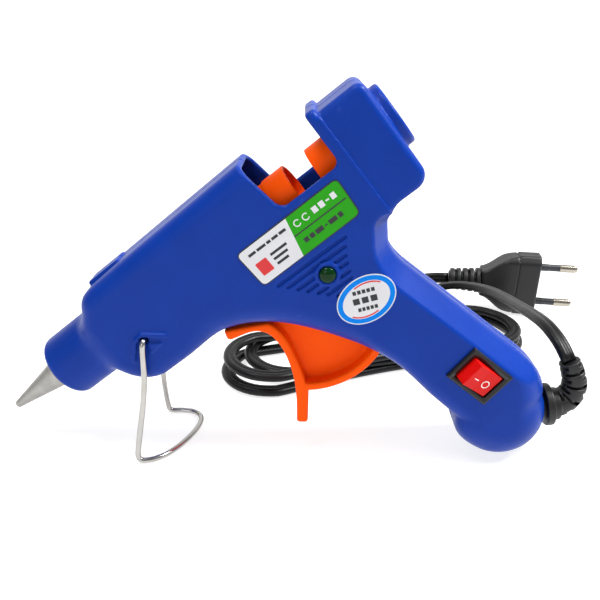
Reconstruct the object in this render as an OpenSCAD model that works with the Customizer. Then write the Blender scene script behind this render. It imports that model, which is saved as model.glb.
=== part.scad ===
/* [Barrel] */
// Angle of the barrel above the table, degrees
barrel_angle = 39.5; // [38:0.5:41]
// Half thickness of the barrel and handle casing
casing_half = 13.2; // [13:0.1:13.6]
// Half thickness of the head behind the front flange
head_half = 12.6; // [12.2:0.1:12.8]
// Wall thickness of the casing
wall = 2; // [1.8:0.1:2.2]
// Radius of the round collar that holds the nozzle
collar_r = 11; // [10.8:0.1:11.2]
// Radius of the boss round the stick inlet
inlet_boss_r = 10; // [9.8:0.1:10.4]

/* [Glue path] */
// Radius of the glue stick's way through the feed parts
stick_bore_r = 4; // [3.9:0.05:4.1]
// Radius of the nozzle's outlet
outlet_r = 0.8; // [0.6:0.1:0.9]
// Radius of the heating chamber
chamber_r = 6.5; // [6.3:0.1:6.6]

/* [Trigger] */
// Outer radius of the trigger's curved rear rim
rim_r = 28.3; // [27.8:0.1:28.6]
// Half width of the trigger's finger face
trigger_half = 6.4; // [6:0.1:6.5]
// Radius of the trigger's pivot pin
pivot_r = 1.5; // [1.4:0.05:1.6]

/* [Stand] */
// Radius of the stand's steel wire
wire_r = 0.95; // [0.9:0.05:1]
// Half distance between the stand's feet
foot_half = 15.3; // [15:0.1:15.6]

/* [Switch] */
// Length of the switch bezel along the handle
bezel_l = 17; // [16.6:0.1:17.4]
// Width of the switch bezel across the handle
bezel_w = 13; // [12.6:0.1:13.4]

/* [Cord and plug] */
// Width of the flat twin cord
cord_w = 5.6; // [5.4:0.1:5.8]
// Thickness of the flat twin cord
cord_t = 3.4; // [3.2:0.1:3.6]
// Distance between the plug's pins
pin_gap = 18.6; // [18:0.1:19]
// Radius of a plug pin
pin_r = 2; // [1.95:0.05:2.05]

/* [Hidden] */
$fn = 48;

// overall frame: origin under the middle of the gun, on the table
half_length = 92;
tip_r = 1.2;
tip_x = -half_length + tip_r * sin(barrel_angle);
tip_z = 11.8;
tail_r = 15.8;
tail = [half_length - tail_r, tail_r];

// a point given along the barrel (s from the nozzle tip, n above the axis)
function B(s, n) = [tip_x + s * cos(barrel_angle) - n * sin(barrel_angle),
                    tip_z + s * sin(barrel_angle) + n * cos(barrel_angle)];
function arc(c, r, a0, a1, n = 8) =
    [for (i = [0:n]) c + r * [cos(a0 + (a1 - a0) * i / n), sin(a0 + (a1 - a0) * i / n)]];
function bez(a, b, c, d, n = 8) =
    [for (i = [1:n]) let (t = i / n, u = 1 - t)
        u * u * u * a + 3 * u * u * t * b + 3 * u * t * t * c + t * t * t * d];
function unit(v) = v / norm(v);

// the casing's side outline, anticlockwise from the barrel's lower front corner
bs = barrel_angle;
front_s = 41.5;
head_s = 158.3;
step_s = 144;
belly_start = B(72, -20);
belly_low = [-1.7, 48.6];
belly_end = [36.7, 37.4];
grip_low = [58.6, 18.8];
throat_top = B(148, -19.5);
throat_mid = [33.2, 79.4];
back_top = [41, 67.9];
back_low = [79.8, 39.2];
outline = concat(
    arc(B(front_s + 7.5, -12.5), 7.5, 180 + bs, 270 + bs),
    [belly_start],
    bez(belly_start, belly_start + 8 * [cos(bs), sin(bs)], belly_low - [9, 0], belly_low, 7),
    bez(belly_low, belly_low + [10, 0], belly_end + [-9, 5], belly_end, 7),
    bez(belly_end, belly_end + [5, -2.8], [47, 28.6], [51, 25.2], 5),
    [grip_low],
    arc(tail, tail_r, 175, 390, 26),
    bez([89.9, 23.7], [90.6, 29], [86.5, 34], back_low, 6),
    [back_top],
    bez(back_top, [36.3, 71.3], [33.1, 75], throat_mid, 5),
    bez(throat_mid, [32.7, 83.5], [32.2, 88.2], throat_top, 5),
    arc(B(head_s - 4.7, -14.8), 4.7, 270 + bs, 360 + bs),
    arc(B(head_s - 4.2, 10.7), 4.2, bs, 90 + bs, 6),
    [B(step_s + 4, 14.9), B(step_s, 16.8), B(front_s + 7, 17.2)],
    arc(B(front_s + 7, 10.2), 7, 90 + bs, 180 + bs));
outline_n = len(outline);

// the outline moved inwards by d, point by point
function side_normal(a, b) = let (v = unit(b - a)) [-v[1], v[0]];
function inset(d) = [for (i = [0:outline_n - 1]) let (
        p = outline[(i + outline_n - 1) % outline_n], q = outline[i], r = outline[(i + 1) % outline_n],
        m = side_normal(p, q), k = side_normal(q, r), w = unit(m + k))
    q + d * w / max(0.8, w * m)];
// layers of the half casing as [inset, distance from the middle plane]: outside, then the cavity
outer_layers = [[0, 8.4], [0.35, 10.2], [0.9, 11.6], [1.8, 12.45], [3.2, casing_half]];
inner_layers = [[wall, 9.4], [wall + 0.7, 10.5], [wall + 1.6, casing_half - wall]];
layer_overlap = 0.5;

// a stack of layers on one side of the middle plane; side is -1 or 1
module layers(side, list, start) {
    for (k = [0:len(list) - 1]) {
        y0 = k == 0 ? start : list[k - 1][1] - layer_overlap;
        y1 = list[k][1];
        plate(side > 0 ? y0 : -y1, side > 0 ? y1 : -y0) polygon(inset(list[k][0]));
    }
}
module bowl(side) {
    difference() {
        layers(side, outer_layers, 0);
        layers(side, inner_layers, -1);
    }
}

// places children in the barrel's own frame: X along the barrel, Z above it
module on_barrel() {
    translate([tip_x, 0, tip_z]) rotate([0, -barrel_angle, 0]) children();
}
module rod(s0, s1, r) {
    translate([s0, 0, 0]) rotate([0, 90, 0]) cylinder(h = s1 - s0, r = r);
}
// a body turned about the barrel axis; the profile's points are [radius, distance along]
module turned(profile, angle = 360, start = 0) {
    rotate([0, 90, 0]) rotate([0, 0, start]) rotate_extrude(angle = angle) polygon(profile);
}
// a plate standing in the XZ plane, from y0 to y1
module plate(y0, y1) {
    translate([0, y1, 0]) rotate([90, 0, 0]) linear_extrude(y1 - y0) children();
}
// a round post along Y at an XZ point
module post(p, y0, y1, r) {
    translate([p[0], y0, p[1]]) rotate([-90, 0, 0]) cylinder(h = y1 - y0, r = r);
}
// a box in the barrel frame, from low corner to high corner
module block(lo, hi) {
    translate(lo) cube(hi - lo);
}

// a tube swept along points, with one [half width, half height] a ring and a reference direction
function tangent(p, i) = unit(p[min(i + 1, len(p) - 1)] - p[max(i - 1, 0)]);
function ring(c, t, ref, w, h, sides) = let (a = unit(cross(ref, t)), b = cross(t, a))
    [for (k = [0:sides - 1]) c + w * cos(360 * (k + 0.5) / sides) * a + h * sin(360 * (k + 0.5) / sides) * b];
module sweep(p, size, ref = [0, 0, 1], sides = 8) {
    n = len(p);
    pts = [for (i = [0:n - 1]) let (s = is_list(size[0]) ? size[i] : size)
        each ring(p[i], tangent(p, i), ref, s[0], s[1], sides)];
    walls = [for (i = [0:n - 2]) for (k = [0:sides - 1]) let (j = (k + 1) % sides, a = i * sides)
        [a + k, a + sides + k, a + sides + j, a + j]];
    caps = [[for (k = [0:sides - 1]) k], [for (k = [0:sides - 1]) n * sides - 1 - k]];
    polyhedron(pts, concat(walls, caps), 8);
}
// a smooth line through the points, with m steps between neighbours
function smooth(p, m) = let (n = len(p)) concat(
    [for (i = [0:n - 2]) let (a = p[max(i - 1, 0)], b = p[i], c = p[i + 1], d = p[min(i + 2, n - 1)])
        for (k = [0:m - 1]) let (t = k / m)
            0.5 * ((2 * b) + (c - a) * t + (2 * a - 5 * b + 4 * c - d) * t * t
            + (3 * b - a - 3 * c + d) * t * t * t)],
    [p[n - 1]]);

// casing details
window = [119.7, 140.6];
window_low = 0.2;
window_corner = 2.5;
screw_spots = [B(53, -14), B(98, 11.4), B(151.5, -13), [46, 54], [80.5, 8.5]];
head_recess = 5;
pivot = [8.5, 52.3];
led_spot = B(118.1, -23.6);
switch_spot = [64.4, 35.3];
switch_turn = 38;
stand_pivot = [-41.5, 45.2];
gland_turn = 8;
gland_spot = [91.5, 17];
clamp_spot = [77.5, 22.5];
clamp_turn = -38;
clamp_gap = 5.4;
vents = 7;

function clamp_hole(k) = clamp_spot + clamp_gap * k * [cos(clamp_turn), -sin(clamp_turn)];

module window_cut() {
    on_barrel() plate(-20, 20) union() {
        translate([window[0], window_low + window_corner])
            square([window[1] - window[0], 30]);
        translate([window[0] + window_corner, window_low])
            square([window[1] - window[0] - 2 * window_corner, 10]);
        for (s = [window[0] + window_corner, window[1] - window_corner])
            translate([s, window_low + window_corner]) circle(window_corner);
    }
}

module trigger_slot() {
    plate(-6.8, 6.8) polygon([[-19, 40], [39, 28], [39, 45], [30, 51], [-19, 51]]);
}

// the switch's place: X along the handle, Y across, Z out of the side
module at_switch() {
    translate([switch_spot[0], -casing_half, switch_spot[1]])
        rotate([90, 0, 0]) rotate([0, 0, -switch_turn]) children();
}

// the cord gland's place: X out of the handle's end
module at_gland() {
    translate([gland_spot[0], 0, gland_spot[1]]) rotate([0, -gland_turn, 0]) children();
}

module shell_half(side) {
    inner = casing_half - wall;
    screw_post_r = side < 0 ? 3 : 4.3;
    collar_profile = concat(
        [[6, 25.5]],
        [for (p = arc([collar_r - 1.8, 27.3], 1.8, -90, 0, 5)) p],
        [[collar_r, 43], [collar_r - wall, 43], [collar_r - wall, 27.5], [6, 27.5]]);
    inlet_profile = concat(
        [[6.6, 157], [inlet_boss_r, 157]],
        arc([inlet_boss_r - 1, 160.2], 1, 0, 90, 4),
        [[6.6, 161.2]]);
    difference() {
        union() {
            bowl(side);
            on_barrel() {
                turned(collar_profile, 180, side > 0 ? 0 : 180);
                turned(inlet_profile, 180, side > 0 ? 0 : 180);
                for (s = [46, 82])
                    block([s, side > 0 ? 0 : -inner - 0.2, -9], [s + 1.6, side > 0 ? inner + 0.2 : 0,
                        15.4]);
                block([144.4, side > 0 ? 0 : -10.9, -12], [146, side > 0 ? 10.9 : 0, 13.2]);
                for (n = [-2.7, 1.4])
                    block([101, side > 0 ? 8.8 : -inner - 0.2, n], [118.6, side > 0 ? inner + 0.2 : -8.8,
                        n + 1.3]);
            }
            for (p = screw_spots)
                post(p, side > 0 ? 0 : -inner - 0.3, side > 0 ? inner + 0.3 : 0, screw_post_r);
            post(pivot, side > 0 ? 7 : -inner - 0.2, side > 0 ? inner + 0.2 : -7, 3.2);
            stand_rib(side);
            if (side < 0) post(led_spot, -casing_half - 0.6, -casing_half + 0.1, 3.9);
            if (side < 0) for (k = [-1, 1])
                post(clamp_hole(k), -inner - 0.2, -cord_t / 2 - 0.2, 1.9);
        }
        on_barrel() {
            rod(30, 45, collar_r - wall);
            for (y = [-casing_half - 5, head_half]) block([step_s, y, -40], [175, y + 5.6, 20]);
            rod(45, 90, chamber_r + 0.05);
            rod(140, 152.2, 7.65);
            rod(150, 165, 6.6);
            for (k = [0:vents - 1])
                block([104 + 2.05 * k, side > 0 ? casing_half - 0.6 : -casing_half - 1, -17.9 - 2.28 * k],
                    [129.2 - 1.3 * k, side > 0 ? casing_half + 1 : -casing_half + 0.6, -17 - 2.28 * k]);
        }
        window_cut();
        trigger_slot();
        post(pivot, -20, 20, pivot_r + 0.02);
        post(stand_pivot, -20, 20, wire_r + 0.05);
        at_gland() rod(-20, 10, 4.4);
        for (p = screw_spots) {
            if (side > 0) post(p, -1, 12, 1.6);
            if (side > 0) post(p, head_recess, 20, 3);
            if (side < 0) post(p, -9, 1, 1.1);
        }
        if (side < 0) {
            post(led_spot, -20, -5, 2.6);
            at_switch() translate([0, 0, -6]) cube([15, 11, 20], center = true);
            for (k = [-1, 1])
                post(clamp_hole(k), -9, 1, 0.8);
        }
    }
}
// the raised angle that shelters the stand's pivot and stops its forward swing
module stand_rib(side) {
    y0 = side > 0 ? casing_half - 0.4 : -casing_half - 0.9;
    plate(y0, y0 + 1.3) polygon([[-34.6, 47.8], [-42.3, 47.8], [-44.3, 45.2], [-45.5, 37.5], [-44.3, 37.3],
        [-43.1, 44.4], [-41.9, 46.6], [-34.6, 46.6]]);
}

module left_shell() {
    color("royalblue") shell_half(-1);
}

module right_shell() {
    color("mediumblue") shell_half(1);
}

// cross-head screws that hold the two halves together
module shell_screws() {
    color("silver") for (p = screw_spots) difference() {
        union() {
            post(p, head_recess, head_recess + 1.8, 2.7);
            post(p, -8, head_recess + 0.5, 1.05);
        }
        for (turn = [0, 90])
            translate([p[0], head_recess + 1.8, p[1]]) rotate([0, turn, 0]) cube([3, 1.6, 0.6],
                center = true);
    }
}

// the bare metal nozzle, with its outlet and threaded neck
module nozzle() {
    color("lightgray") on_barrel() turned([[outlet_r, 0], [tip_r, 0], [4.85, 21.8], [5.3, 22.2], [5.3, 28],
        [3.2, 28], [3.2, 35], [2.2, 35], [2.2, 24], [outlet_r, 5]]);
}

// the heat-resisting bush between the chamber and the collar
module front_bush() {
    color("gainsboro") on_barrel() turned([[chamber_r + 0.03, 30], [collar_r - wall - 0.05, 30],
        [collar_r - wall - 0.05, 40], [chamber_r + 0.03, 40]]);
}

// the aluminium chamber that melts the stick, with a flat seat for the heater
module heating_chamber() {
    color("silver") on_barrel() difference() {
        union() {
            rod(28, 86, chamber_r);
            block([52, -chamber_r, -9], [76, chamber_r, -3]);
        }
        rod(27, 36, 3.24);
        rod(35.5, 87, stick_bore_r - 0.2);
    }
}

module ptc_heater() {
    color("dimgray") on_barrel() block([59, -5, -11.2], [73, 5, -9.2]);
}

// insulating film folded round the heater
module heater_film() {
    color("goldenrod") on_barrel() difference() {
        block([58.2, -5.4, -11.4], [74, 5.4, -9]);
        block([57, -5, -11.2], [75, 5, -9.2]);
    }
}

// spring-steel clip that presses the heater on its seat
module heater_clip() {
    color("slategray") on_barrel() difference() {
        block([61, -7.4, -12.2], [71, 7.4, 7.4]);
        block([60, -6.7, -11.4], [72, 6.7, 6.6]);
        block([60, -3, 6], [72, 3, 8]);
    }
}

// soft tube that leads the stick into the chamber
module feed_tube() {
    color("whitesmoke") on_barrel() turned([[stick_bore_r - 0.1, 86], [7.4, 86], [7.4, 88], [6, 89], [6,
        101.5],
        [stick_bore_r - 0.1, 101.5]]);
}

// the sliding feeder that grips the stick and moves with the trigger
carriage_front = 110;
carriage_rear = 125.6;
arm_tip_s = 106.2;
arm_tip_r = 2.2;
lug_gap = 0.25;
module feed_carriage() {
    color("orangered") on_barrel() difference() {
        union() {
            turned([[stick_bore_r, carriage_front], [7.7, carriage_front], [7.7, 117], [8.1, 117.6],
                [8.1, carriage_rear], [7.3, carriage_rear], [7.1, 123], [stick_bore_r, 119.5]]);
            block([101, -3, -9.4], [115, 3, -6.9]);
            block([101, -3, -14.6], [arm_tip_s - arm_tip_r - lug_gap, 3, -9]);
            block([arm_tip_s + arm_tip_r + lug_gap, -3, -14.6], [111.2, 3, -9]);
            for (side = [-1, 1])
                block([111.5, side > 0 ? 7 : -10.8, -1.1], [116.5, side > 0 ? 10.8 : -7, 1.1]);
        }
        rod(100, 119.6, stick_bore_r);
    }
}

// the fixed guide at the back, which is also the stick's inlet
guide_front = 133.5;
guide_end = 161;
module rear_guide() {
    color("orangered") on_barrel() turned([[stick_bore_r, 137], [6.9, guide_front], [7.6, guide_front],
        [7.6, 152], [6.5, 152], [6.5, guide_end], [stick_bore_r, guide_end]]);
}

// trigger: finger face, thin web, curved rear rim, hub and feeder arm
web_half = 1.6;
arm_half = 2.6;
rim_t = 2.8;
arm_tip = B(arm_tip_s, -12.2);
finger_face = concat(
    [[-17.4, 45.4], [-16.4, 42.6], [-15.2, 42.2], [-10.3, 44.6]],
    bez([-10.3, 44.6], [-5, 47], [-1.5, 45], [2, 38.6], 6),
    bez([2, 38.6], [5.2, 32], [6.7, 25], [6.8, 13.4], 6),
    arc([8.7, 13.3], 1.9, 180, 360, 8),
    [[10.6, 22.6]],
    bez([10.6, 22.6], [9.4, 28], [7.4, 34], [4.6, 39.8], 5),
    bez([4.6, 39.8], [2.6, 44.4], [-0.4, 47.6], [-3.2, 48.6], 4),
    [[-9, 47.4]]);
module trigger() {
    color("orangered") difference() {
        union() {
            plate(-trigger_half, trigger_half) polygon(finger_face);
            plate(-trigger_half, trigger_half)
                polygon(concat(arc(pivot, rim_r, -88, -15, 24), arc(pivot, rim_r - rim_t, -15, -88, 24)));
            plate(-web_half, web_half) polygon(concat([pivot], [[-3, 47.6], [4.4, 38]], [[10, 22]],
                arc(pivot, rim_r - 1, -84, -15, 20)));
            plate(-arm_half, arm_half) translate(pivot)
                rotate(atan2(arm_tip[1] - pivot[1], arm_tip[0] - pivot[0]))
                translate([0, -1.4]) square([norm(arm_tip - pivot), 2.8]);
            post(arm_tip, -arm_half, arm_half, arm_tip_r);
            post(pivot, -trigger_half, trigger_half, 3.6);
        }
        post(pivot, -20, 20, pivot_r + 0.05);
    }
}

module trigger_pin() {
    color("silver") post(pivot, -10.8, 10.8, pivot_r);
}

// torsion spring on the hub: its legs rest on the casing and on the finger face
spring_steps = 51;
spring_r = 4.4;
spring_wire = 0.4;
module trigger_spring() {
    coil = [for (i = [0:spring_steps]) let (a = -110 + 22.5 * i)
        [pivot[0] + spring_r * cos(a), 3.3 + 0.97 * i / 16, pivot[1] + spring_r * sin(a)]];
    leg_down = coil[0] + [-2.2, 0, -1.2];
    leg_up = coil[spring_steps] + [9, 0, 9.8];
    color("gray") sweep(concat([leg_down], coil, [leg_up]),
        [spring_wire, spring_wire], [0.05, 1, 0.02], 6);
}

// switch: black housing with its bezel, red rocker and two blades
rocker_l = 12.4;
rocker_w = 8.8;
rocker_turn = 8;
module switch_body() {
    color("black") at_switch() difference() {
        union() {
            translate([-bezel_l / 2, -bezel_w / 2, 0]) cube([bezel_l, bezel_w, 1.3]);
            translate([-7.4, -5.4, -10]) cube([14.8, 10.8, 10.2]);
        }
        translate([-6.9, -4.7, -4.6]) cube([13.8, 9.4, 10]);
    }
}

module switch_rocker() {
    color("red") at_switch() translate([0, 0, -1]) rotate([0, rocker_turn, 0])
        rotate([90, 0, 0]) translate([0, 0, -rocker_w / 2]) linear_extrude(rocker_w)
        polygon([[-rocker_l / 2, 3], [-rocker_l / 2 + 0.5, 3.2], [0, 2], [rocker_l / 2 - 0.5, 3.2],
            [rocker_l / 2, 3],
            [4.8, -1.6], [-4.8, -1.6]]);
}

module switch_terminals() {
    color("goldenrod") at_switch() for (u = [-4.5, 4.5])
        translate([u - 0.4, -2.2, -16.5]) cube([0.8, 4.4, 6.5]);
}

module led_lens() {
    color("darkgreen") union() {
        post(led_spot, -casing_half - 0.9, -8, 2.5);
        intersection() {
            translate([led_spot[0], -casing_half + 0.6, led_spot[1]]) sphere(3);
            post(led_spot, -16, -casing_half - 0.5, 2.5);
        }
    }
}

module led_board() {
    color("darkolivegreen") translate([led_spot[0] - 5, -8, led_spot[1] - 4]) cube([10, 1.2, 8]);
}

// insulated wires from the gland to the switch and up to the heater
wire_half = 0.65;
module internal_wires() {
    live_in = [[88, -0.9, 16.5], [84.6, -0.9, 16], [82, -0.9, 17.5], [79, -0.9, 21], [75.5, -0.7, 26],
        [71.5, 2.5, 30], [69, 4.2, 31.8]];
    live_out = [[60.5, 4.2, 38.4], [57, 7.5, 41], [49, 9.4, 46.6], [41, 9.4, 50.6], [34, 9.4, 58.5], [24,
        9.5, 65],
        [6, 9.4, 66], [-13, 8, 61], [-25.5, 3.2, 52.4]];
    neutral = [[88, 0.8, 16.5], [84.6, 0.8, 16], [82, 0.8, 17.5], [79, 0.8, 21], [75.5, 0.8, 25.5],
        [71.5, 5, 27],
        [66, 8.6, 28.5], [56, 9.4, 35.5], [46, 9.4, 43], [34, 9.4, 54], [20, 9.4, 61.5], [4, 9.2, 62],
        [-14, 6, 58.5], [-25.7, -3, 52.2]];
    for (line = [live_in, live_out, neutral])
        color("firebrick") sweep(smooth(line, 2), [wire_half, wire_half], [0.1, 1, 0.1]);
}

module at_clamp() {
    translate([clamp_spot[0], 0, clamp_spot[1]]) rotate([0, clamp_turn, 0]) children();
}
module cord_clamp() {
    color("dimgray") at_clamp() difference() {
        translate([-7.6, cord_t / 2, -2.5]) cube([15.2, 2, 5]);
        for (k = [-1, 1])
            translate([k * clamp_gap, 0, 0]) rotate([-90, 0, 0]) cylinder(h = 10, r = 1.1);
    }
}
module clamp_screws() {
    color("silver") at_clamp() for (k = [-1, 1]) translate([k * clamp_gap, 0, 0]) rotate([-90, 0, 0]) {
        translate([0, 0, cord_t / 2 + 2]) cylinder(h = 1.4, r = 1.9);
        translate([0, 0, -6]) cylinder(h = cord_t / 2 + 8.1, r = 0.75);
    }
}

// bent wire stand: two legs from the casing's sides down to a round foot loop
module wire_stand() {
    leg_y = casing_half + wire_r + 0.35;
    foot_x = -45.6;
    loop = concat(
        [[stand_pivot[0], -leg_y, stand_pivot[1]], [-41.7, -leg_y, 38], [-41.9, -leg_y - 0.1, 28],
         [-43.4, -foot_half, 16], [foot_x - 0.2, -foot_half, 4.4], [foot_x + 0.4, -foot_half, 1.7],
         [foot_x + 2, -foot_half, wire_r]],
        [for (a = [-80:20:80]) [-38 + 8.6 * cos(a), foot_half * sin(a), wire_r]],
        [[foot_x + 2, foot_half, wire_r], [foot_x + 0.4, foot_half, 1.7], [foot_x - 0.2, foot_half, 4.4],
         [-43.4, foot_half, 16], [-41.9, leg_y + 0.1, 28], [-41.7, leg_y, 38],
         [stand_pivot[0], leg_y, stand_pivot[1]]]);
    color("silver") {
        sweep(loop, [wire_r / cos(22.5), wire_r / cos(22.5)], [1, 0, 0.35]);
        for (side = [-1, 1])
            post(stand_pivot, side > 0 ? casing_half - 3.5 : -leg_y - wire_r,
                side > 0 ? leg_y + wire_r : -casing_half + 3.5,
                wire_r);
    }
}

// rubber strain relief: flange, neck through the casing, and a tapered bent boot
boot_line = [[93, 0, 17.2], [97.4, 0, 18.2], [100.6, 0, 21], [101.6, 0, 25.4], [100.4, 0.3, 30], [98.6,
    0.6, 34]];
boot_end = boot_line[len(boot_line) - 1];
module strain_relief() {
    line = smooth(boot_line, 3);
    n = len(line);
    color("black") {
        at_gland() difference() {
            union() {
                rod(0.9, 3.3, 7.4);
                rod(-6.5, 1.2, 4.3);
                rod(-6.5, -3.4, 5.6);
            }
            rod(-7, -2, 2);
        }
        sweep(line, [for (i = [0:n - 1]) let (r = 5 - 2 * i / (n - 1)) [r, r]], [0, 1, 0], 12);
    }
}

module side_label() {
    color("white") on_barrel() plate(-casing_half - 0.15, -casing_half) union() {
        translate([101, -12.5]) square([36.2, 8]);
        translate([103, -14.5]) square([32.2, 12]);
        for (s = [103, 135.2], n = [-12.5, -4.5]) translate([s, n]) circle(2);
    }
}

module rating_sticker() {
    color("deepskyblue") on_barrel() plate(-casing_half - 0.15, -casing_half)
        polygon([for (a = [0:10:350]) [122.4 + 9.6 * cos(a), -37.3 + 7.4 * sin(a)]]);
}

// cord: lead from the boot, hank behind the gun, tail to the plug
hank_mid = [44, 60.5];
hank_turn = 20;
hank_run = 104;
hank_r = 22.5;
hank_h = 16;
lead_line = [boot_end, [96.5, 6, 38.4], [94.8, 15, 40], [94.4, 27, 38], [94.8, 40, 34.5], [95, 52, 31],
    [94.6, 65, 27],
    [93, 78, 22], [89, 91, 16.5], [81, 102, 11], [70, 108, 7], [57, 108, 4], [46, 101, 3], [39, 92, 4],
        [35, 82, 5]];
tail_line = [[84, 122, 16], [76, 123, 15.6], [66, 127, 14], [54, 131, 11], [41, 130, 8], [28, 124, 5],
    [17, 112, 3],
    [10, 98, 3], [8, 84, 4], [9, 72, 5]];
module cord_lead() {
    color("black") sweep(smooth(lead_line, 2), [cord_w / 2, cord_t / 2]);
}
module cord_tail() {
    color("black") sweep(smooth(tail_line, 2), [cord_t / 2, cord_w / 2]);
}
module cord_hank() {
    color("black") translate([hank_mid[0], hank_mid[1], 0]) rotate([0, 0,
        hank_turn]) linear_extrude(hank_h) union() {
        square([hank_run, 2 * hank_r], center = true);
        for (k = [-1, 1]) translate([k * hank_run / 2, 0]) circle(hank_r);
    }
}

// plug standing on its edge: X along its pins, Z along its width
plug_half = 16;
plug_l = 27.5;
module at_plug() {
    translate([101, 120, plug_half]) rotate([0, 0, -7]) children();
}
module plug_body() {
    color("black") at_plug() intersection() {
        plate(-6.75, 6.75) polygon([[0, -8], [10, -14], [16, -plug_half], [plug_l, -plug_half], [plug_l,
            plug_half],
            [16, plug_half], [10, 14], [0, 8]]);
        rotate([90, 0, 90]) linear_extrude(plug_l) polygon([[-6.75, -13.4], [-5, -plug_half], [5,
            -plug_half],
            [6.75, -13.4], [6.75, 13.4], [5, plug_half], [-5, plug_half], [-6.75, 13.4]]);
    }
}
module plug_relief() {
    color("black") at_plug() {
        rod(-17, -13, 3.6);
        rod(-13, 0, 3.3);
        for (k = [0:2])
            rod(-12 + 4 * k, -9.6 + 4 * k, 5.9 + 0.3 * k);
    }
}
module plug_pins() {
    color("lightgray") at_plug() for (k = [-1, 1]) translate([0, 0, k * pin_gap / 2]) {
        rod(plug_l, plug_l + 10.2, pin_r - 0.55);
        rod(plug_l + 10, plug_l + 18, pin_r);
        turned([[0, plug_l + 18], [pin_r, plug_l + 18], [pin_r - 0.5, plug_l + 18.8], [pin_r - 1.2,
            plug_l + 19], [0, plug_l + 19]]);
    }
}
module pin_sleeves() {
    color("dimgray") at_plug() for (k = [-1, 1]) translate([0, 0, k * pin_gap / 2])
        turned([[pin_r - 0.55, plug_l], [pin_r - 0.25, plug_l], [pin_r - 0.25, plug_l + 10],
            [pin_r - 0.55, plug_l + 10]]);
}

left_shell();
right_shell();
shell_screws();
nozzle();
front_bush();
heating_chamber();
ptc_heater();
heater_film();
heater_clip();
feed_tube();
feed_carriage();
rear_guide();
trigger();
trigger_pin();
trigger_spring();
switch_body();
switch_rocker();
switch_terminals();
led_lens();
led_board();
internal_wires();
cord_clamp();
clamp_screws();
wire_stand();
strain_relief();
side_label();
rating_sticker();
cord_lead();
cord_hank();
cord_tail();
plug_body();
plug_relief();
plug_pins();
pin_sleeves();
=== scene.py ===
import math

import bmesh
import bpy
import numpy as np
from mathutils import Matrix, Vector


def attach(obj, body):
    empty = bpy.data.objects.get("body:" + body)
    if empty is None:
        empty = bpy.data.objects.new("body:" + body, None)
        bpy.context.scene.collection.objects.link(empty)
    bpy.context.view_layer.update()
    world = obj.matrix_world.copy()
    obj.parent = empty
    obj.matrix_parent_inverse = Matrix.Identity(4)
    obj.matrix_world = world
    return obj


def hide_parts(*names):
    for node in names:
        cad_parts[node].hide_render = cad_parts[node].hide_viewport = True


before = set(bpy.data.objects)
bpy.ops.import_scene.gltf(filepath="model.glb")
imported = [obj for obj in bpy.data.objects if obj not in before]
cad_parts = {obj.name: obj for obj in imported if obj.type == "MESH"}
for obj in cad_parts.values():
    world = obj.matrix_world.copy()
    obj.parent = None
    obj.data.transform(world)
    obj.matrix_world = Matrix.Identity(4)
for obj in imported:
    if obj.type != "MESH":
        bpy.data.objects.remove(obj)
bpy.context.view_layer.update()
MM = 0.001
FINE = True

# ---------------------------------------------------------------- the part's own frames, in mm

BARREL = math.radians(39.5)
CB, SB = math.cos(BARREL), math.sin(BARREL)
TIP = (-92 + 1.2 * SB, 11.8)
CASING_HALF = 13.2
HEAD_HALF = 12.6
PIVOT = (8.5, 52.3)
STAND_PIVOT = (-41.5, 45.2)
SWITCH_AT = (64.4, 35.3)
SWITCH_TURN = math.radians(38)
WALL = 2.0
LIFT = 0.02
EYE = (6.897, -190.748, 137.377)
PITCH, ROLL = math.radians(23.5), math.radians(1.4)
LENS, SENSOR = 38.4, 36


def B(s, n):
    """A point along the barrel (s from the nozzle's tip, n above the axis) as (x, z)."""
    return np.array([TIP[0] + s * CB - n * SB, TIP[1] + s * SB + n * CB])


def to_barrel(x, z):
    dx, dz = x - TIP[0], z - TIP[1]
    return dx * CB + dz * SB, -dx * SB + dz * CB


def arc(c, r, a0, a1, n=8):
    t = np.radians(np.linspace(a0, a1, n + 1))
    return [np.array([c[0] + r * math.cos(a), c[1] + r * math.sin(a)]) for a in t]


def bez(a, b, c, d, n=8):
    a, b, c, d = (np.array(p, float) for p in (a, b, c, d))
    t = [i / n for i in range(1, n + 1)]
    return [(1 - u) ** 3 * a + 3 * (1 - u) ** 2 * u * b + 3 * (1 - u) * u * u * c + u ** 3 * d for u in t]


def smooth(points, spacing):
    """A Catmull-Rom line through the points, resampled evenly."""
    p = np.array(points, float)
    q = np.vstack([2 * p[0] - p[1], p, 2 * p[-1] - p[-2]])
    out = []
    for i in range(1, len(q) - 2):
        a, b, c, d = q[i - 1], q[i], q[i + 1], q[i + 2]
        for t in np.linspace(0, 1, 12, endpoint=False):
            out.append(0.5 * (2 * b + (c - a) * t + (2 * a - 5 * b + 4 * c - d) * t * t
                              + (3 * b - a - 3 * c + d) * t ** 3))
    out.append(p[-1])
    out = np.array(out)
    s = np.concatenate([[0], np.cumsum(np.linalg.norm(np.diff(out, axis=0), axis=1))])
    n = max(2, int(round(s[-1] / spacing)))
    at = np.linspace(0, s[-1], n + 1)
    return np.stack([np.interp(at, s, out[:, k]) for k in range(3)], 1)


# ---------------------------------------------------------------- camera

def make_camera():
    right = Vector((1, 0, 0))
    up = Vector((0, math.sin(PITCH), math.cos(PITCH)))
    back = Vector((0, -math.cos(PITCH), math.sin(PITCH)))
    r = right * math.cos(ROLL) + up * math.sin(ROLL)
    u = up * math.cos(ROLL) - right * math.sin(ROLL)
    data = bpy.data.cameras.new("camera")
    data.sensor_width = SENSOR
    data.lens = LENS
    data.clip_start = 0.005
    cam = bpy.data.objects.new("camera", data)
    m = Matrix((r, u, back)).transposed().to_4x4()
    m.translation = Vector(EYE) * MM
    cam.matrix_world = m
    bpy.context.scene.collection.objects.link(cam)
    bpy.context.scene.camera = cam


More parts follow.
